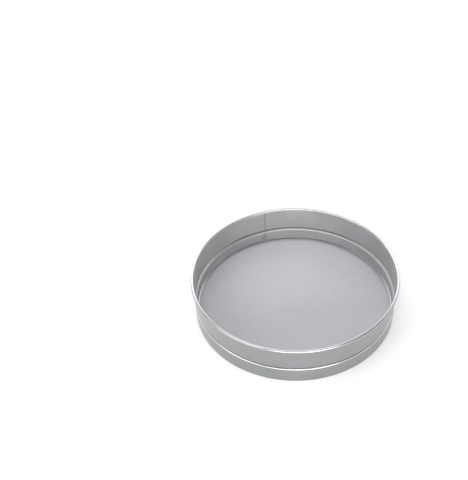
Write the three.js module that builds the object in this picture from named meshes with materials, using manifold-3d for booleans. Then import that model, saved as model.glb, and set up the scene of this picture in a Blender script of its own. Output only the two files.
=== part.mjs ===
// A drum sieve of stainless steel in millimetres, +Z up, standing on z = 0 with its axis on Z.
// A body hoop with a wired rim and a drawn-in neck, a lower hoop clamped over the neck,
// and a disc of wire cloth held between the two.
import * as THREE from "three";
import { mergeVertices } from "three/addons/utils/BufferGeometryUtils.js";
import Module from "manifold-3d";

// Whole sieve
const WALL_RADIUS = 150; // outside of the body hoop, and of the clamp hoop flush below it
const OVERALL_HEIGHT = 66; // foot to the top of the rim
const FIT = 0.3; // clearance between pieces that bear on each other
const FACETS = 72; // flats round every hoop, all starting at the seam

// Body hoop
const BODY_SHEET = 0.6;
const RIM_WIRE_DIAMETER = 2.8;
const RIM_CURL_TURN = 290; // degrees that the rim wraps round its wire
const SHOULDER_HEIGHT = 3.6; // the soft step from the wall in to the neck
const LIP_RADIUS = 1.2; // inside of the bend at the foot of the neck
const LIP_FLAT = 0.8; // flat of the lip past its bend
const SEAM_ANGLE = 110; // degrees from +X towards +Y, where the inner end of the strip stops
const SEAM_STEP = 0.1; // degrees over which an end of the strip steps down
const LAP_FACETS = 1; // flats that the outer end of the strip lies over the inner end
const EASE_FACETS = 5; // flats over which the inner end eases out to the wall

// Clamp hoop
const CLAMP_SHEET = 0.6;
const CLAMP_HEIGHT = 25;
const TOP_FOLD_GAP = 1.2; // inside the round of the folded upper edge
const TOP_FOLD_DEPTH = 5;

// Wire cloth, a net with the cloth's own weight of wire in fewer, wider strands
const CLOTH_HEIGHT = 5.7; // underside of the pressed edge above the foot
const STRAND_WIDTH = 1.4;
const STRAND_THICKNESS = 0.6;
const STRAND_PITCH = 16;
const CROSSING_DEPTH = 0.3; // how far crossing strands are pressed into each other
const EDGE_COVER = 0.1; // pressed edge above and below the strands

// Steps of the rounded stretches of the profiles
const WIRE_SIDES = 8;
const CURL_STEPS = 9;
const SHOULDER_STEPS = 6;
const LIP_STEPS = 3;
const TOP_FOLD_STEPS = 6;
const FOOT_STEPS = 5; // an odd number leaves a flat at the lowest point to stand on

// Sizes that follow from those above
const BODY_INNER = WALL_RADIUS - BODY_SHEET;
const CURL_BORE = RIM_WIRE_DIAMETER / 2 + FIT;
const CURL_RADIUS = CURL_BORE + BODY_SHEET;
const RIM_CENTRE_RADIUS = WALL_RADIUS + CURL_BORE;
const RIM_CENTRE_HEIGHT = OVERALL_HEIGHT - CURL_RADIUS;
const WALL_TOP = RIM_CENTRE_HEIGHT - CURL_RADIUS;
const TOP_FOLD_RADIUS = CLAMP_SHEET + TOP_FOLD_GAP / 2;
const CLAMP_INNER = WALL_RADIUS - CLAMP_SHEET;
const NECK_OUTER = WALL_RADIUS - 2 * TOP_FOLD_RADIUS - FIT;
const NECK_INNER = NECK_OUTER - BODY_SHEET;
const SHOULDER_FOOT = CLAMP_HEIGHT - TOP_FOLD_RADIUS; // the clamp's rounded edge is tucked under the step
const SHOULDER_TOP = SHOULDER_FOOT + SHOULDER_HEIGHT;
const SHOULDER_LIFT = BODY_SHEET / 2; // of its inner face, so that the sheet keeps its thickness
const CLOTH_THICKNESS = 2 * (STRAND_THICKNESS + EDGE_COVER) - CROSSING_DEPTH;
const LIP_BOTTOM = CLOTH_HEIGHT + CLOTH_THICKNESS + FIT;
const LIP_BEND_RADIUS = NECK_INNER - LIP_RADIUS;
const LIP_BEND_HEIGHT = LIP_BOTTOM + BODY_SHEET + LIP_RADIUS;
const LIP_INNER = LIP_BEND_RADIUS - LIP_FLAT;
const FOOT_RADIUS = (WALL_RADIUS - NECK_OUTER + CLAMP_SHEET) / 2; // the return stands under the neck
const FOOT_BORE = FOOT_RADIUS - CLAMP_SHEET;
const FOOT_CENTRE_RADIUS = WALL_RADIUS - FOOT_RADIUS;
const FOOT_CENTRE_HEIGHT = FOOT_RADIUS * Math.cos(Math.PI / (2 * FOOT_STEPS));
const RETURN_TOP = CLOTH_HEIGHT - FIT;
const CLOTH_RADIUS = CLAMP_INNER - FIT;
const CLOTH_EDGE_INNER = LIP_INNER + FIT; // the pressed edge of the cloth lies under the lip

const wasm = await Module();
wasm.setup();

// A closed geometry as a solid that can be joined and cut.
function solidOf(geometry) {
  const bare = geometry.clone();
  bare.deleteAttribute("normal");
  bare.deleteAttribute("uv");
  const merged = mergeVertices(bare);
  const mesh = new wasm.Mesh({
    numProp: 3,
    vertProperties: new Float32Array(merged.getAttribute("position").array),
    triVerts: new Uint32Array(merged.index.array),
  });
  return new wasm.Manifold(mesh);
}

function geometryOf(solid) {
  const mesh = solid.getMesh();
  const geometry = new THREE.BufferGeometry();
  geometry.setAttribute("position", new THREE.BufferAttribute(mesh.vertProperties, 3));
  geometry.setIndex(new THREE.BufferAttribute(mesh.triVerts, 1));
  geometry.computeVertexNormals();
  return geometry;
}

const at = (radius, height) => new THREE.Vector2(radius, height);

// Points of an arc in a profile, from one angle to another in degrees.
function arc(radius, height, size, from, to, steps) {
  const start = THREE.MathUtils.degToRad(from);
  const end = THREE.MathUtils.degToRad(to);
  return new THREE.EllipseCurve(radius, height, size, size, start, end, to < from).getPoints(steps);
}

// Points of the soft step between two radii, from one height to another.
function shoulder(radius, height, endRadius, endHeight) {
  const middle = (height + endHeight) / 2;
  const curve = new THREE.CubicBezierCurve(
    at(radius, height),
    at(radius, middle),
    at(endRadius, middle),
    at(endRadius, endHeight),
  );
  return curve.getPoints(SHOULDER_STEPS);
}

// The angles of the hoops' corners in degrees, from the seam once round and back to it.
const CORNERS = Array.from({ length: FACETS + 1 }, (_, i) => SEAM_ANGLE + (i * 360) / FACETS);

// Turns a closed profile round the axis, with a column of points at each angle.
// inset moves a point of a column towards the axis.
function revolve(profile, angles = CORNERS, inset = () => 0) {
  const loop = [...profile, profile[0]];
  const geometry = new THREE.LatheGeometry(loop, angles.length - 1);
  const position = geometry.getAttribute("position");
  angles.forEach((angle, column) => {
    const turn = THREE.MathUtils.degToRad(angle);
    loop.forEach((point, row) => {
      const radius = point.x - inset(angle, row % profile.length);
      const index = column * loop.length + row;
      position.setXYZ(index, radius * Math.cos(turn), radius * Math.sin(turn), point.y);
    });
  });
  geometry.computeVertexNormals();
  return geometry;
}

// One strip: lip, neck, shoulder and wall, with the rim curled outwards round its wire.
// Its ends lap at the seam: the outer end runs on round, and the inner end steps in behind it.
function bodyHoop() {
  const curlEnd = 180 - RIM_CURL_TURN;
  const underLip = [
    at(LIP_INNER, LIP_BOTTOM),
    ...arc(LIP_BEND_RADIUS, LIP_BEND_HEIGHT, LIP_RADIUS + BODY_SHEET, -90, 0, LIP_STEPS),
  ];
  const outside = [
    ...shoulder(NECK_OUTER, SHOULDER_FOOT, WALL_RADIUS, SHOULDER_TOP),
    at(WALL_RADIUS, WALL_TOP),
  ];
  const curl = [
    ...arc(RIM_CENTRE_RADIUS, RIM_CENTRE_HEIGHT, CURL_BORE, 180, curlEnd, CURL_STEPS),
    ...arc(RIM_CENTRE_RADIUS, RIM_CENTRE_HEIGHT, CURL_RADIUS, curlEnd, 180, CURL_STEPS),
  ];
  const inside = [
    at(BODY_INNER, WALL_TOP),
    ...shoulder(BODY_INNER, SHOULDER_TOP + SHOULDER_LIFT, NECK_INNER, SHOULDER_FOOT + SHOULDER_LIFT),
  ];
  const lip = [
    ...arc(LIP_BEND_RADIUS, LIP_BEND_HEIGHT, LIP_RADIUS, 0, -90, LIP_STEPS),
    at(LIP_INNER, LIP_BOTTOM + BODY_SHEET),
  ];
  const profile = [...underLip, ...outside, ...curl, ...inside, ...lip];
  const lapTurn = CORNERS[LAP_FACETS] - SEAM_ANGLE;
  const easeTurn = CORNERS[EASE_FACETS] - SEAM_ANGLE;
  const steps = [SEAM_ANGLE + lapTurn - SEAM_STEP, SEAM_ANGLE + 360 - SEAM_STEP];
  const columns = [...CORNERS, ...steps].sort((a, b) => a - b);
  const lap = (angle, row) => {
    const past = (angle - SEAM_ANGLE) % 360;
    const isInside = inside.includes(profile[row]);
    const isBehindLap = outside.includes(profile[row]) && past >= lapTurn;
    return isInside || isBehindLap ? BODY_SHEET * Math.max(0, 1 - past / easeTurn) : 0;
  };
  return revolve(profile, columns, lap);
}

// The wire that stiffens the rim.
function rimWire() {
  const section = arc(RIM_CENTRE_RADIUS, RIM_CENTRE_HEIGHT, RIM_WIRE_DIAMETER / 2, 0, 360, WIRE_SIDES);
  return revolve(section.slice(0, WIRE_SIDES));
}

// The lower hoop, with both edges folded inwards: the upper fold bears on the neck,
// and the lower fold is the foot, whose return stands under the neck and carries the cloth.
function clampHoop() {
  const foldRadius = WALL_RADIUS - TOP_FOLD_RADIUS;
  const foldHeight = CLAMP_HEIGHT - TOP_FOLD_RADIUS;
  const foldEnd = CLAMP_HEIGHT - TOP_FOLD_DEPTH;
  const foldInner = WALL_RADIUS - 2 * TOP_FOLD_RADIUS;
  return revolve([
    ...arc(FOOT_CENTRE_RADIUS, FOOT_CENTRE_HEIGHT, FOOT_RADIUS, -180, 0, FOOT_STEPS),
    ...arc(foldRadius, foldHeight, TOP_FOLD_RADIUS, 0, 180, TOP_FOLD_STEPS),
    at(foldInner, foldEnd),
    at(foldInner + CLAMP_SHEET, foldEnd),
    ...arc(foldRadius, foldHeight, TOP_FOLD_GAP / 2, 180, 0, TOP_FOLD_STEPS),
    ...arc(FOOT_CENTRE_RADIUS, FOOT_CENTRE_HEIGHT, FOOT_BORE, 0, -180, FOOT_STEPS),
    at(NECK_OUTER, RETURN_TOP),
    at(NECK_OUTER - CLAMP_SHEET, RETURN_TOP),
  ]);
}

// Strands both ways, the second set lying on the first, joined where they cross
// and run into a pressed edge that lies under the lip.
function meshCloth() {
  const top = CLOTH_HEIGHT + CLOTH_THICKNESS;
  const edge = revolve([
    at(CLOTH_EDGE_INNER, CLOTH_HEIGHT),
    at(CLOTH_RADIUS, CLOTH_HEIGHT),
    at(CLOTH_RADIUS, top),
    at(CLOTH_EDGE_INNER, top),
  ]);
  const reach = (CLOTH_EDGE_INNER + CLOTH_RADIUS) / 2;
  const lowStrand = CLOTH_HEIGHT + EDGE_COVER + STRAND_THICKNESS / 2;
  const highStrand = top - EDGE_COVER - STRAND_THICKNESS / 2;
  let cloth = solidOf(edge);
  for (let place = STRAND_PITCH / 2; place < CLOTH_EDGE_INNER - STRAND_WIDTH; place += STRAND_PITCH) {
    const length = 2 * Math.sqrt(reach ** 2 - place ** 2);
    for (const side of [-place, place]) {
      const along = new THREE.BoxGeometry(length, STRAND_WIDTH, STRAND_THICKNESS);
      const across = new THREE.BoxGeometry(STRAND_WIDTH, length, STRAND_THICKNESS);
      cloth = cloth.add(solidOf(along.translate(0, side, lowStrand)));
      cloth = cloth.add(solidOf(across.translate(side, 0, highStrand)));
    }
  }
  return geometryOf(cloth);
}

function piece(name, geometry, color, roughness) {
  const material = new THREE.MeshStandardMaterial({ color, roughness, metalness: 1 });
  const mesh = new THREE.Mesh(geometry, material);
  mesh.name = name;
  return mesh;
}

const sieve = new THREE.Group();
sieve.add(
  piece("body_hoop", bodyHoop(), "#b4b4b6", 0.3),
  piece("rim_wire", rimWire(), "#a9abae", 0.4),
  piece("clamp_hoop", clampHoop(), "#aeb0af", 0.3),
  piece("mesh_cloth", meshCloth(), "#b8b7bb", 0.35),
);

export default sieve;
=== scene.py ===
import math

import bpy
import numpy as np
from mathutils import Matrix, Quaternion, Vector


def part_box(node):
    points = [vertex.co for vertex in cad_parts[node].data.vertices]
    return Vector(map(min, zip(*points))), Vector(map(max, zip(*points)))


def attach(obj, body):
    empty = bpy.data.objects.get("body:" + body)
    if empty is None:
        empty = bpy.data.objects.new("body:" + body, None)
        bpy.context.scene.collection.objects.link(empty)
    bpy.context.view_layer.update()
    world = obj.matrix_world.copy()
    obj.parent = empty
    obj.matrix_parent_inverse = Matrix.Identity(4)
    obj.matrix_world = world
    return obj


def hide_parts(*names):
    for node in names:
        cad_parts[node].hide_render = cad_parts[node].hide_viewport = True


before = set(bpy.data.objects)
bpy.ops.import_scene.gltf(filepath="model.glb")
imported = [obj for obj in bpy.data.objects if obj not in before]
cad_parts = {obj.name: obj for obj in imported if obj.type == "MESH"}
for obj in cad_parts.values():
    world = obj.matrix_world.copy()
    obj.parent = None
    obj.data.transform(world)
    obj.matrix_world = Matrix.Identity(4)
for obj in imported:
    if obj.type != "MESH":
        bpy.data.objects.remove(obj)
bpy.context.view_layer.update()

MM = 0.001

# Heights of the sieve, from the frame
RIM_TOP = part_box("body_hoop")[1].z
LIP_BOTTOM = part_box("body_hoop")[0].z
CLAMP_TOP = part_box("clamp_hoop")[1].z
CLOTH_MIDDLE = (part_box("mesh_cloth")[0].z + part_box("mesh_cloth")[1].z) / 2
CLOTH_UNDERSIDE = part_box("mesh_cloth")[0].z

# Body hoop, with the turn of its curl in degrees
WALL_RADIUS = 150 * MM
SHEET = 0.6 * MM
CURL_RADIUS = 2.25 * MM
CURL_TURN = 290
SHOULDER_STEP = 2.7 * MM
SHOULDER_HEIGHT = 4.2 * MM
SHOULDER_TUCK = 1.2 * MM
LIP_BEND = 1.2 * MM
LIP_FLAT = 0.8 * MM

# Lap seam of the body hoop, angles in degrees round the axis
SEAM = 110
LAP = 5
LAP_EASE = 25
LAP_EDGE = 0.03
LAP_FADE = 3 * MM

# Clamp hoop
CLAMP_SHEET = 0.6 * MM
FOLD_GAP = 1.2 * MM
FOLD_DEPTH = 5 * MM
FOOT_RADIUS = 1.65 * MM
CLOTH_CLEARANCE = 0.3 * MM

# Wire cloth
WIRE_PITCH = 1.2 * MM
WIRE_DIAMETER = 0.52 * MM
WIRE_SIDES = 4
CLOTH_RADIUS = 148.3 * MM

# Fineness of the turned pieces and of the curves in their profiles
SPIN_STEPS = 288
LIP_STEPS = 6
SHOULDER_STEPS = 14
CURL_INNER_STEPS = 22
CURL_OUTER_STEPS = 28
FOOT_STEPS = 14
FOLD_STEPS = 16
CLAMP_BORE_STEPS = 8

# Distance at which points merge, and the angle up to which a bend is shaded smooth
MERGE = 0.001 * MM
SMOOTH_ANGLE = math.radians(40)

# Roughness of the steel, lowest and highest
POLISHED = (0.28, 0.36)
SATIN = (0.52, 0.6)
DRAWN = (0.5, 0.6)
HIGHLIGHT_BAND_ROUGHNESS = 0.2

# Colours of the steel, each outside painted darker than its inside as painted shade on one steel
BODY_OUTSIDE = (0.365, 0.365, 0.375)
BODY_INSIDE = (0.59, 0.577, 0.587)
CLAMP_OUTSIDE = (0.355, 0.365, 0.362)
CLAMP_INSIDE = (0.52, 0.53, 0.52)
WIRE_BRIGHT = (0.76, 0.75, 0.78)
WIRE_DULL = (0.64, 0.63, 0.66)
# Painted highlights: brighter colours for bands along the rim, ridge and lip, and along the clamp's fold
EDGE_HIGHLIGHT_PAINT = (0.55, 0.55, 0.56)
FOLD_HIGHLIGHT_PAINT = (0.86, 0.86, 0.87)
WELD_TINT = (0.42, 0.4, 0.38)
SEAM_TINT = (0.3, 0.3, 0.305)
# Painted shade: a dark colour for bands in the shoulder's corner, in the crevice and along the lip
PAINTED_SHADE = (0.13, 0.13, 0.135)

# Share of its colour that handled sheet keeps
HANDLED_SHADE = 0.92

# Grey patterns, in features per metre, and the greys that they mostly stay between
GRAIN_STRETCH = (9, 9, 1800)
GRAIN_NOISE = {"Scale": 1, "Detail": 3, "Roughness": 0.6}
HANDLING_NOISE = {"Scale": 22, "Detail": 4, "Roughness": 0.55}
STRAND_NOISE = {"Scale": 400, "Detail": 2}
PATTERN_LOW, PATTERN_HIGH = 0.3, 0.7

# Relief of the rolled grain
RELIEF_STRENGTH = 0.25
RELIEF_DEPTH = 0.02 * MM

# Cosine from the way out to a face's normal, where the inside of a hoop begins and is full
INSIDE_START = -0.1
INSIDE_FULL = -0.4

# Half the height of each band of the sheet that has a painted highlight or painted shade
RIM_HALF = 2.4 * MM
FOLD_HALF = 2 * MM
CORNER_HALF = 2 * MM
CREVICE_HALF = 3.5 * MM
RIDGE_HALF = 0.9 * MM
LIP_HALF = 2.6 * MM
LIP_SHINE_HALF = 1.2 * MM

# Middles of such bands, two as shares of the shoulder's height and one above the clamp hoop
CORNER_SHARE = 0.8
RIDGE_SHARE = 0.35
CREVICE_RISE = 1.2 * MM

# Where the painted shade inside begins and is full, towards the back of the sieve
PAINTED_SHADE_START = 70 * MM
PAINTED_SHADE_FULL = 125 * MM

# Marks along the seam, each with a weight for the distance out, across and up
SEAM_LINE = 0.7 * MM
SEAM_WEIGHTS = (0.02, 1, 0)
WELD_OFFSET = 3 * MM
WELD_HEIGHT = 17 * MM
WELD_RADIUS = 3.5 * MM
WELD_WEIGHTS = (1, 1, 0.6)

# Stage round the sieve, in metres, and its pale matt surface
BACKDROP_RADIUS = 3.5
BACKDROP_HEIGHT = 1.6
BACKDROP_SIDES = 96
PALE = (0.93, 0.93, 0.93)
PALE_ROUGHNESS = 0.9
PALE_SPECULAR = 0.1
WHITE = (1, 1, 1)

# Light that lifts the stage to white: a little where the lamps reach, and more where they run out
LIT_RADIUS = 0.6
LIT_LIFT = 0.22
DIM_RADIUS = 2
DIM_LIFT = 0.85

# Grey of the sky, and the point above the cloth that the lamps face
SKY = (0.18, 0.18, 0.185)
LAMP_TARGET = Vector((0, 0, 30 * MM))

# Camera of the photograph, in its frame of 468 by 480 pixels
IMAGE_WIDTH, IMAGE_HEIGHT = 468, 480
FOCAL_PIXELS = 750
RIM_CENTRE_PIXEL = (295.27, 273.41)
SENSOR_WIDTH = 36
CAMERA_TILT = math.radians(43.43)
CAMERA_ROLL = math.radians(0.6)
CAMERA_DISTANCE = 1.1055
CAMERA_AIM = 64.1 * MM

# Sizes of the body hoop that follow from those above
SHOULDER_FOOT = CLAMP_TOP - SHOULDER_TUCK
NECK_RADIUS = WALL_RADIUS - SHOULDER_STEP
LIP_RING = NECK_RADIUS - SHEET - LIP_BEND
LIP_HEIGHT = LIP_BOTTOM + SHEET + LIP_BEND
CURL_RING = WALL_RADIUS - SHEET + CURL_RADIUS
CURL_HEIGHT = RIM_TOP - CURL_RADIUS
CURL_FOOT = CURL_HEIGHT - CURL_RADIUS
CORNER_HEIGHT = SHOULDER_FOOT + CORNER_SHARE * SHOULDER_HEIGHT
RIDGE_HEIGHT = SHOULDER_FOOT + RIDGE_SHARE * SHOULDER_HEIGHT
CREVICE_HEIGHT = CLAMP_TOP + CREVICE_RISE


# Profiles, as lists of radius and height

def arc(radius, height, size, start, end, steps):
    """Points of an arc from one angle to another, in degrees."""
    turns = [math.radians(start + (end - start) * i / steps) for i in range(steps + 1)]
    return [(radius + size * math.cos(t), height + size * math.sin(t)) for t in turns]


def ease(share):
    """A soft step from 0 to 1."""
    share = min(max(share, 0), 1)
    return share ** 3 * (share * (6 * share - 15) + 10)


def outer_face(height):
    """Radius of the outside of the body hoop at a height of its neck, shoulder or wall."""
    return WALL_RADIUS - SHOULDER_STEP * (1 - ease((height - SHOULDER_FOOT) / SHOULDER_HEIGHT))


def inner_face(height):
    """The same of its inside, where the shoulder lies higher so that the sheet keeps its thickness."""
    return outer_face(height - SHEET / 2) - SHEET


def body_profile():
    """The outside of the sheet from the lip to the end of the curl, and its inside back again."""
    low, high = SHOULDER_FOOT, SHOULDER_FOOT + SHOULDER_HEIGHT + SHEET / 2
    heights = [LIP_HEIGHT + LAP_FADE, low - LAP_FADE]
    heights += [low + (high - low) * i / SHOULDER_STEPS for i in range(SHOULDER_STEPS + 1)]
    heights += [high + LAP_FADE, CURL_FOOT - LAP_FADE, CURL_FOOT]
    curl_end = 180 - CURL_TURN
    return (
        [(LIP_RING - LIP_FLAT, LIP_BOTTOM)]
        + arc(LIP_RING, LIP_HEIGHT, LIP_BEND + SHEET, -90, 0, LIP_STEPS)
        + [(outer_face(height), height) for height in heights]
        + arc(CURL_RING, CURL_HEIGHT, CURL_RADIUS - SHEET, 180, curl_end, CURL_INNER_STEPS)
        + arc(CURL_RING, CURL_HEIGHT, CURL_RADIUS, curl_end, 180, CURL_OUTER_STEPS)
        + [(inner_face(height), height) for height in reversed(heights)]
        + arc(LIP_RING, LIP_HEIGHT, LIP_BEND, 0, -90, LIP_STEPS)
        + [(LIP_RING - LIP_FLAT, LIP_BOTTOM + SHEET)]
    )


def clamp_profile():
    """The outside of the clamp hoop from its foot to the end of the fold, and its inside back again."""
    fold = CLAMP_SHEET + FOLD_GAP / 2
    fold_ring = WALL_RADIUS - fold
    fold_height = CLAMP_TOP - fold
    fold_end = CLAMP_TOP - FOLD_DEPTH
    foot_ring = WALL_RADIUS - FOOT_RADIUS
    foot_bore = FOOT_RADIUS - CLAMP_SHEET
    return_inner = WALL_RADIUS - 2 * FOOT_RADIUS
    return_top = CLOTH_UNDERSIDE - CLOTH_CLEARANCE
    return (
        arc(foot_ring, FOOT_RADIUS, FOOT_RADIUS, -180, 0, FOOT_STEPS)
        + arc(fold_ring, fold_height, fold, 0, 180, FOLD_STEPS)
        + [(fold_ring - fold, fold_end), (fold_ring - fold + CLAMP_SHEET, fold_end)]
        + arc(fold_ring, fold_height, FOLD_GAP / 2, 180, 0, CLAMP_BORE_STEPS)
        + arc(foot_ring, FOOT_RADIUS, foot_bore, 0, -180, CLAMP_BORE_STEPS)
        + [(return_inner + CLAMP_SHEET, return_top), (return_inner, return_top)]
    )


# Modelling

def select_only(piece):
    """Makes a piece the only one selected, and the active one."""
    bpy.ops.object.select_all(action="DESELECT")
    piece.select_set(True)
    bpy.context.view_layer.objects.active = piece


def pick_nothing(kind):
    """Deselects all of the active mesh, so that its vertices or faces can be picked by their place."""
    bpy.ops.object.mode_set(mode="EDIT")
    bpy.ops.mesh.select_mode(type=kind)
    bpy.ops.mesh.select_all(action="DESELECT")
    bpy.ops.object.mode_set(mode="OBJECT")


def turned_piece(name, profile):
    """A closed profile drawn from one vertex by extrusion, then spun round the axis of the sieve."""
    turn = math.radians(SEAM)
    points = [Vector((r * math.cos(turn), r * math.sin(turn), z)) for r, z in profile]
    bpy.ops.object.select_all(action="DESELECT")
    bpy.ops.mesh.primitive_plane_add(size=SHEET)
    piece = bpy.context.object
    piece.name = name
    bpy.ops.object.mode_set(mode="EDIT")
    bpy.ops.mesh.select_mode(type="VERT")
    bpy.ops.mesh.merge(type="CENTER")
    bpy.ops.transform.translate(value=points[0])
    for here, there in zip(points, points[1:] + points[:1]):
        bpy.ops.mesh.extrude_vertices_move(TRANSFORM_OT_translate={"value": there - here})
    bpy.ops.mesh.select_all(action="SELECT")
    bpy.ops.mesh.remove_doubles(threshold=MERGE)
    bpy.ops.mesh.spin(steps=SPIN_STEPS, angle=math.tau, center=(0, 0, 0), axis=(0, 0, 1))
    bpy.ops.mesh.select_all(action="SELECT")
    bpy.ops.mesh.remove_doubles(threshold=MERGE)
    bpy.ops.mesh.normals_make_consistent(inside=False)
    bpy.ops.object.mode_set(mode="OBJECT")
    return piece


def past_seam(point):
    """Degrees round the axis from the seam to a point."""
    return (math.degrees(math.atan2(point.y, point.x)) - SEAM) % 360


def cut_beside(piece, angle):
    """Cuts the hoop across just before an angle past the seam, for a sharp step there."""
    pick_nothing("FACE")
    for face in piece.data.polygons:
        face.select = (angle - past_seam(face.center)) % 360 < 360 / SPIN_STEPS
    bpy.ops.object.mode_set(mode="EDIT")
    turn = math.radians(SEAM + angle - LAP_EDGE)
    bpy.ops.mesh.bisect(plane_co=(0, 0, 0), plane_no=(-math.sin(turn), math.cos(turn), 0))
    bpy.ops.object.mode_set(mode="OBJECT")


def lap_ends(piece):
    """Steps the sheet in where one end of the strip laps over the other."""
    cut_beside(piece, 0)
    cut_beside(piece, LAP)
    for vertex in piece.data.vertices:
        radius = vertex.co.xy.length
        height = vertex.co.z
        if not LIP_HEIGHT < height < CURL_FOOT:
            continue
        angle = past_seam(vertex.co)
        if angle > 360 - LAP_EDGE / 2:
            angle = 0
        is_outside = radius > (outer_face(height) + inner_face(height)) / 2
        if is_outside and angle < LAP - LAP_EDGE / 2:
            continue
        inset = SHEET * (1 - ease(angle / LAP_EASE))
        vertex.co.xy *= (radius - inset) / radius


def wave_set(name):
    """Wires side by side along X, each bent over and under the wires that cross it, in a square."""
    drop = WIRE_DIAMETER
    waves = math.ceil(CLOTH_RADIUS / WIRE_PITCH) + 1
    corner = -waves * WIRE_PITCH
    bpy.ops.object.select_all(action="DESELECT")
    bpy.ops.mesh.primitive_circle_add(
        vertices=WIRE_SIDES,
        radius=WIRE_DIAMETER / 2,
        location=(corner, corner, CLOTH_MIDDLE + drop / 2),
        rotation=(0, math.pi / 2, 0),
    )
    piece = bpy.context.object
    piece.name = name
    bpy.ops.object.transform_apply(location=True, rotation=True, scale=True)
    bpy.ops.object.mode_set(mode="EDIT")
    bpy.ops.mesh.select_mode(type="VERT")
    for rise in (-drop, drop):
        bpy.ops.mesh.extrude_region_move(TRANSFORM_OT_translate={"value": (WIRE_PITCH, 0, rise)})
    bpy.ops.object.mode_set(mode="OBJECT")
    for offset in ((2 * WIRE_PITCH, 0, 0), (0, 2 * WIRE_PITCH, 0)):
        array = piece.modifiers.new("rows", "ARRAY")
        array.count = waves
        array.use_relative_offset = False
        array.use_constant_offset = True
        array.constant_offset_displace = offset
        array.use_merge_vertices = offset[0] > 0
        array.merge_threshold = MERGE
        bpy.ops.object.modifier_apply(modifier=array.name)
    return piece


def trim_round(piece):
    """Cuts a square of wires to the disc of the cloth and closes the cut ends."""
    pick_nothing("VERT")
    mesh = piece.data
    places = np.empty(3 * len(mesh.vertices))
    mesh.vertices.foreach_get("co", places)
    places = places.reshape(-1, 3)
    # The four points of one bend of a wire share the place of its middle
    middle = np.round(places[:, :2] / WIRE_PITCH) * WIRE_PITCH
    mesh.vertices.foreach_set("select", np.hypot(middle[:, 0], middle[:, 1]) > CLOTH_RADIUS)
    bpy.ops.object.mode_set(mode="EDIT")
    bpy.ops.mesh.delete(type="VERT")
    bpy.ops.mesh.select_all(action="SELECT")
    bpy.ops.mesh.delete_loose()
    bpy.ops.mesh.select_all(action="DESELECT")
    bpy.ops.mesh.select_non_manifold()
    bpy.ops.mesh.fill_holes(sides=WIRE_SIDES)
    bpy.ops.mesh.select_all(action="SELECT")
    bpy.ops.mesh.normals_make_consistent(inside=False)
    bpy.ops.object.mode_set(mode="OBJECT")


def copy_turned(piece, name, turn, shift):
    """A copy of a set of wires, turned about the axis of the sieve and moved."""
    select_only(piece)
    bpy.ops.object.duplicate()
    copy = bpy.context.object
    copy.name = name
    copy.rotation_euler.z = turn
    copy.location = shift
    bpy.ops.object.transform_apply(location=True, rotation=True, scale=True)
    return copy


# Nodes of a material, a group or the world

def fill(tree, socket, value):
    """Sets a socket to a constant, or links it to another node's output."""
    if isinstance(value, bpy.types.NodeSocket):
        tree.links.new(value, socket)
    elif socket.type == "RGBA":
        socket.default_value = (*value, 1)
    else:
        socket.default_value = value


def set_inputs(tree, node, **inputs):
    """Fills sockets of a node by their names."""
    for socket, value in inputs.items():
        fill(tree, node.inputs[socket.replace("_", " ")], value)


def add_node(tree, kind, **inputs):
    """A new node with some of its sockets filled."""
    node = tree.nodes.new(kind)
    set_inputs(tree, node, **inputs)
    return node


def object_place(tree):
    """Place of a point in its object's own frame, which for a piece is that of the sieve."""
    return add_node(tree, "ShaderNodeTexCoord").outputs["Object"]


def place_along(tree, axis):
    """The same along one axis of that frame."""
    return add_node(tree, "ShaderNodeSeparateXYZ", Vector=object_place(tree)).outputs[axis]


def calculate(tree, operation, first, second=0):
    """The result of a Math node."""
    node = tree.nodes.new("ShaderNodeMath")
    node.operation = operation
    fill(tree, node.inputs[0], first)
    fill(tree, node.inputs[1], second)
    return node.outputs["Value"]


def calculate_vector(tree, operation, first, second=(0, 0, 0)):
    """The outputs of a Vector Math node."""
    node = tree.nodes.new("ShaderNodeVectorMath")
    node.operation = operation
    fill(tree, node.inputs[0], first)
    fill(tree, node.inputs[1], second)
    return node.outputs


def weighted_distance(tree, place, centre, weights):
    """Distance of a place from a centre, with a weight for each axis."""
    offset = calculate_vector(tree, "SUBTRACT", place, centre)["Vector"]
    weighted = calculate_vector(tree, "MULTIPLY", offset, weights)["Vector"]
    return calculate_vector(tree, "LENGTH", weighted)["Value"]


def ramp(tree, value, start, end, low=0, high=1):
    """Maps a value that goes from start to end to one that goes from low to high, and no further."""
    node = add_node(tree, "ShaderNodeMapRange", Value=value)
    set_inputs(tree, node, From_Min=start, From_Max=end, To_Min=low, To_Max=high)
    return node.outputs["Result"]


def noise(tree, place, settings):
    """A grey pattern, from the settings of a noise."""
    return add_node(tree, "ShaderNodeTexNoise", Vector=place, **settings).outputs["Fac"]


def spread(tree, pattern, low=0, high=1):
    """Maps a grey pattern to a range of values."""
    return ramp(tree, pattern, PATTERN_LOW, PATTERN_HIGH, low, high)


def blend(tree, factor, first, second, kind="Color"):
    """A colour between two others, or a value where the kind is Float."""
    node = add_node(tree, "ShaderNodeMix", Factor=factor)
    node.data_type = "RGBA" if kind == "Color" else "FLOAT"
    sockets = {socket.identifier: socket for socket in (*node.inputs, *node.outputs)}
    fill(tree, sockets["A_" + kind], first)
    fill(tree, sockets["B_" + kind], second)
    return sockets["Result_" + kind]


# Effects on the sheets, as node groups

def new_group(name, outputs, inputs=()):
    """An empty group with named values in and out."""
    group = bpy.data.node_groups.new(name, "ShaderNodeTree")
    for socket in inputs:
        group.interface.new_socket(socket, in_out="INPUT", socket_type="NodeSocketFloat")
    for socket in outputs:
        group.interface.new_socket(socket, in_out="OUTPUT", socket_type="NodeSocketFloat")
    return group


def use_group(tree, group, **inputs):
    """The outputs of a group that is placed in a material with its own values."""
    node = tree.nodes.new("ShaderNodeGroup")
    node.node_tree = group
    set_inputs(tree, node, **inputs)
    return node.outputs


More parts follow.
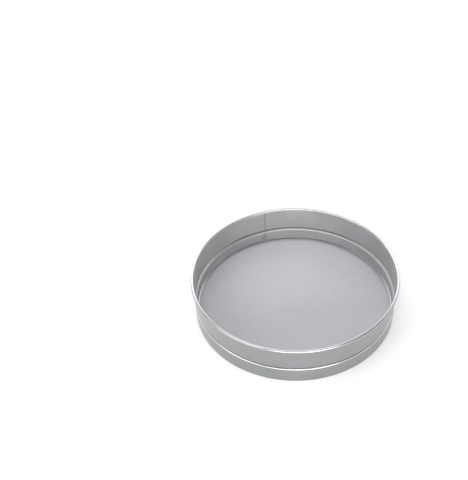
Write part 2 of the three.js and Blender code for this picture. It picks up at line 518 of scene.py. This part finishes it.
def rolled_grain_group():
    """Fine lines along a rolled strip, and the broad unevenness of a handled surface."""
    group = new_group("rolled_grain", ("Lines", "Handling"))
    place = object_place(group)
    along = add_node(group, "ShaderNodeMapping", Vector=place, Scale=GRAIN_STRETCH).outputs["Vector"]
    lines = noise(group, along, GRAIN_NOISE)
    handling = noise(group, place, HANDLING_NOISE)
    add_node(group, "NodeGroupOutput", Lines=lines, Handling=handling)
    return group


def hoop_sides_group():
    """Inside is 1 on faces that look in at the axis of the sieve, and Outside on all others."""
    group = new_group("hoop_sides", ("Inside", "Outside"))
    level = calculate_vector(group, "MULTIPLY", object_place(group), (1, 1, 0))["Vector"]
    outward = calculate_vector(group, "NORMALIZE", level)["Vector"]
    normal = add_node(group, "ShaderNodeTexCoord").outputs["Normal"]
    facing = calculate_vector(group, "DOT_PRODUCT", outward, normal)["Value"]
    inside = ramp(group, facing, INSIDE_START, INSIDE_FULL)
    outside = calculate(group, "SUBTRACT", 1, inside)
    add_node(group, "NodeGroupOutput", Inside=inside, Outside=outside)
    return group


def height_band_group():
    """1 at a height of the sieve, fading to 0 at half the width of the band above and below it."""
    group = new_group("height_band", ("Band",), ("Height", "Half"))
    given = add_node(group, "NodeGroupInput").outputs
    offset = calculate(group, "SUBTRACT", place_along(group, "Z"), given["Height"])
    distance = calculate(group, "ABSOLUTE", offset)
    fade = ramp(group, distance, 0, given["Half"], 1, 0)
    fade.node.interpolation_type = "SMOOTHSTEP"
    add_node(group, "NodeGroupOutput", Band=fade)
    return group


def seam_marks_group():
    """Dark residue along the inner end of the lapped strip, and the tint of the weld beside it."""
    group = new_group("seam_marks", ("Residue", "Weld"))
    turn = add_node(group, "ShaderNodeVectorRotate", Vector=object_place(group))
    turn.rotation_type = "Z_AXIS"
    turn.inputs["Angle"].default_value = -math.radians(SEAM)
    by_seam = turn.outputs["Vector"]
    line = (WALL_RADIUS, -SEAM_LINE / 2, 0)
    weld = (NECK_RADIUS, WELD_OFFSET, WELD_HEIGHT)
    from_line = weighted_distance(group, by_seam, line, SEAM_WEIGHTS)
    from_weld = weighted_distance(group, by_seam, weld, WELD_WEIGHTS)
    residue = ramp(group, from_line, SEAM_LINE, SEAM_LINE / 2)
    tint = ramp(group, from_weld, WELD_RADIUS, WELD_RADIUS / 3)
    add_node(group, "NodeGroupOutput", Residue=residue, Weld=tint)
    return group


rolled_grain = rolled_grain_group()
hoop_sides = hoop_sides_group()
height_bands = height_band_group()
seam_marks = seam_marks_group()


def height_band(tree, height, half, within=1):
    """The band of a height, kept to another mask where one is given."""
    band = use_group(tree, height_bands, Height=height, Half=half)["Band"]
    return calculate(tree, "MULTIPLY", band, within)


def shade_and_highlight_masks(tree, inside):
    """Masks of the inside at the back, where shade is painted, and of all that lies away from the back,
    where highlights are painted.
    """
    back = ramp(tree, place_along(tree, "Y"), PAINTED_SHADE_START, PAINTED_SHADE_FULL)
    back_shade = calculate(tree, "MULTIPLY", back, inside)
    away_from_back = calculate(tree, "SUBTRACT", 1, back)
    return back_shade, away_from_back


# Materials

def new_material(name, **inputs):
    """A material with constants on its Principled BSDF."""
    material = bpy.data.materials.new(name)
    material.use_nodes = True
    set_inputs(material.node_tree, material.node_tree.nodes["Principled BSDF"], **inputs)
    return material


def new_sheet(name, outside, inside):
    """Rolled sheet before its marks: the material, the masks of its sides and its colour."""
    material = new_material(name, Metallic=1)
    tree = material.node_tree
    sides = use_group(tree, hoop_sides)
    handling = spread(tree, use_group(tree, rolled_grain)["Handling"])
    # Each side is a little darker where handled, and the outside colour is painted darker than the
    # inside as painted shade
    tints = []
    for colour in (outside, inside):
        handled = tuple(HANDLED_SHADE * channel for channel in colour)
        tints.append(blend(tree, handling, handled, colour))
    return material, sides, blend(tree, sides["Inside"], *tints)


def finish_sheet(material, sides, colour, painted_highlight, shine):
    """Makes the sheet polished outside and satin inside, with a painted highlight, brighter and
    smoother, in its highlight bands.
    """
    tree = material.node_tree
    grain = use_group(tree, rolled_grain)
    polished = spread(tree, grain["Handling"], *POLISHED)
    satin = spread(tree, grain["Handling"], *SATIN)
    rough = blend(tree, sides["Inside"], polished, satin, "Float")
    relief = add_node(tree, "ShaderNodeBump", Height=grain["Lines"])
    set_inputs(tree, relief, Strength=RELIEF_STRENGTH, Distance=RELIEF_DEPTH)
    set_inputs(
        tree,
        tree.nodes["Principled BSDF"],
        Base_Color=blend(tree, painted_highlight, colour, shine),
        Roughness=blend(tree, painted_highlight, rough, HIGHLIGHT_BAND_ROUGHNESS, "Float"),
        Normal=relief.outputs["Normal"],
    )


def body_sheet():
    """Sheet with painted highlights at the rim, the ridge and the lip, painted shade in its corner,
    crevice and lip, and the marks of the seam.
    """
    material, sides, colour = new_sheet("body_sheet", BODY_OUTSIDE, BODY_INSIDE)
    tree = material.node_tree
    back_shade, away_from_back = shade_and_highlight_masks(tree, sides["Inside"])
    # Painted shade: dark bands in the shoulder's inner corner and along the lip at the back, and in the
    # crevice above the clamp hoop
    corner = height_band(tree, CORNER_HEIGHT, CORNER_HALF, back_shade)
    lip = height_band(tree, LIP_BOTTOM, LIP_HALF, back_shade)
    crevice = height_band(tree, CREVICE_HEIGHT, CREVICE_HALF, sides["Outside"])
    for band in (corner, lip, crevice):
        colour = blend(tree, band, colour, PAINTED_SHADE)
    marks = use_group(tree, seam_marks)
    colour = blend(tree, marks["Weld"], colour, WELD_TINT)
    colour = blend(tree, marks["Residue"], colour, SEAM_TINT)
    # Painted highlight: brighter bands along the rim, and along the ridge and the top of the lip away
    # from the back
    painted_highlight = height_band(tree, RIM_TOP, RIM_HALF)
    ridge = height_band(tree, RIDGE_HEIGHT, RIDGE_HALF, away_from_back)
    lip_top = height_band(tree, LIP_BOTTOM + SHEET, LIP_SHINE_HALF, away_from_back)
    for band in (ridge, lip_top):
        painted_highlight = calculate(tree, "MAXIMUM", painted_highlight, band)
    finish_sheet(material, sides, colour, painted_highlight, EDGE_HIGHLIGHT_PAINT)
    return material


def clamp_sheet():
    """Sheet with a painted highlight along the upper fold."""
    material, sides, colour = new_sheet("clamp_sheet", CLAMP_OUTSIDE, CLAMP_INSIDE)
    # Painted highlight: a brighter band along the fold
    fold = height_band(material.node_tree, CLAMP_TOP, FOLD_HALF)
    finish_sheet(material, sides, colour, fold, FOLD_HIGHLIGHT_PAINT)
    return material


def drawn_wire():
    """Drawn wire, a little different from strand to strand."""
    material = new_material("drawn_wire", Metallic=1)
    tree = material.node_tree
    strands = noise(tree, object_place(tree), STRAND_NOISE)
    set_inputs(
        tree,
        tree.nodes["Principled BSDF"],
        Base_Color=blend(tree, spread(tree, strands), WIRE_DULL, WIRE_BRIGHT),
        Roughness=spread(tree, strands, *DRAWN),
    )
    return material


def pale_stage():
    """A pale matt surface, lifted to white where the camera sees it, straight or in the steel."""
    material = new_material("pale_stage", Base_Color=PALE, Roughness=PALE_ROUGHNESS)
    tree = material.node_tree
    ray = add_node(tree, "ShaderNodeLightPath").outputs
    seen = calculate(tree, "MAXIMUM", ray["Is Camera Ray"], ray["Is Glossy Ray"])
    seen = calculate(tree, "MAXIMUM", seen, ray["Is Transmission Ray"])
    distance = calculate_vector(tree, "LENGTH", object_place(tree))["Value"]
    lift = ramp(tree, distance, LIT_RADIUS, DIM_RADIUS, LIT_LIFT, DIM_LIFT)
    set_inputs(
        tree,
        tree.nodes["Principled BSDF"],
        Specular_IOR_Level=PALE_SPECULAR,
        Emission_Color=WHITE,
        Emission_Strength=calculate(tree, "MULTIPLY", seen, lift),
    )
    return material


def coat(piece, material):
    """Gives a piece one material."""
    piece.data.materials.clear()
    piece.data.materials.append(material)


# The pieces

def stand_for(piece, node):
    """Puts a piece on the sieve's one body, in place of a CAD node."""
    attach(piece, "root")
    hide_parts(node)


def smooth_bends(piece):
    """Shades the bends of a sheet smooth and keeps its edges sharp."""
    select_only(piece)
    bpy.ops.object.shade_smooth_by_angle(angle=SMOOTH_ANGLE)


def add_body_hoop():
    """The tall hoop, with its curled rim, its neck and the lap of its ends."""
    hoop = turned_piece("body_hoop_turned", body_profile())
    lap_ends(hoop)
    smooth_bends(hoop)
    coat(hoop, body_sheet())
    stand_for(hoop, "body_hoop")


def add_clamp_hoop():
    """The lower hoop, with its fold and its rolled foot."""
    hoop = turned_piece("clamp_hoop_turned", clamp_profile())
    smooth_bends(hoop)
    coat(hoop, clamp_sheet())
    stand_for(hoop, "clamp_hoop")


def add_cloth(wire):
    """The woven disc: every other wire of the warp, the wires between them, and the same of the weft."""
    across = math.pi / 2
    warp = wave_set("cloth_warp_even")
    cloth = [
        warp,
        copy_turned(warp, "cloth_warp_odd", 0, (WIRE_PITCH, WIRE_PITCH, 0)),
        copy_turned(warp, "cloth_weft_even", across, (0, WIRE_PITCH, 0)),
        copy_turned(warp, "cloth_weft_odd", across, (WIRE_PITCH, 0, 0)),
    ]
    for wires in cloth:
        select_only(wires)
        trim_round(wires)
        bpy.ops.object.shade_smooth()
        coat(wires, wire)
        stand_for(wires, "mesh_cloth")


# Floor, light and camera

def add_stage():
    """A floor with a round backdrop at its edge."""
    pale = pale_stage()
    bpy.ops.object.select_all(action="DESELECT")
    bpy.ops.mesh.primitive_plane_add(size=2 * BACKDROP_RADIUS)
    floor = bpy.context.object
    floor.name = "floor"
    bpy.ops.object.select_all(action="DESELECT")
    bpy.ops.mesh.primitive_cylinder_add(
        vertices=BACKDROP_SIDES,
        radius=BACKDROP_RADIUS,
        depth=BACKDROP_HEIGHT,
        end_fill_type="NOTHING",
        location=(0, 0, BACKDROP_HEIGHT / 2),
    )
    backdrop = bpy.context.object
    backdrop.name = "backdrop"
    for surface in (floor, backdrop):
        coat(surface, pale)


def add_softbox(name, place, size, power):
    """A flat lamp that faces the sieve."""
    lamp = bpy.data.lights.new(name, "AREA")
    lamp.shape = "RECTANGLE"
    lamp.size, lamp.size_y = size
    lamp.energy = power
    box = bpy.data.objects.new(name, lamp)
    box.location = place
    box.rotation_euler = (LAMP_TARGET - Vector(place)).to_track_quat("-Z", "Y").to_euler()
    bpy.context.scene.collection.objects.link(box)


def add_sky():
    """An even grey round the stage."""
    world = bpy.data.worlds.new("studio")
    world.use_nodes = True
    set_inputs(world.node_tree, world.node_tree.nodes["Background"], Color=SKY)
    bpy.context.scene.world = world


def add_camera():
    """The photograph's camera, its lens shifted because the sieve isn't in the middle of the frame."""
    camera = bpy.data.cameras.new("photograph")
    camera.sensor_width = SENSOR_WIDTH
    camera.lens = FOCAL_PIXELS / IMAGE_HEIGHT * SENSOR_WIDTH
    camera.shift_x = -(RIM_CENTRE_PIXEL[0] - IMAGE_WIDTH / 2) / IMAGE_HEIGHT
    camera.shift_y = (RIM_CENTRE_PIXEL[1] - IMAGE_HEIGHT / 2) / IMAGE_HEIGHT
    stand = bpy.data.objects.new("photograph", camera)
    back = CAMERA_DISTANCE * math.cos(CAMERA_TILT)
    up = CAMERA_DISTANCE * math.sin(CAMERA_TILT)
    stand.location = (0, -back, CAMERA_AIM + up)
    stand.rotation_mode = "QUATERNION"
    tilt = Vector((0, back, -up)).to_track_quat("-Z", "Y")
    stand.rotation_quaternion = tilt @ Quaternion((0, 0, 1), CAMERA_ROLL)
    bpy.context.scene.collection.objects.link(stand)
    bpy.context.scene.camera = stand


# The scene

wire = drawn_wire()
add_body_hoop()
add_clamp_hoop()
add_cloth(wire)
coat(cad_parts["rim_wire"], wire)

add_stage()
add_sky()
add_softbox("back", place=(-0.1, 1.25, 1.1), size=(2.8, 0.8), power=14)
add_softbox("top", place=(0, 0.1, 1.6), size=(1.2, 1.2), power=7)
add_softbox("front", place=(-1.1, -0.7, 1.1), size=(1.2, 0.7), power=8)
add_softbox("low_front", place=(0.25, -1.5, 0.45), size=(1.8, 0.6), power=22)
add_camera()
bpy.context.scene.view_settings.view_transform = "Standard"
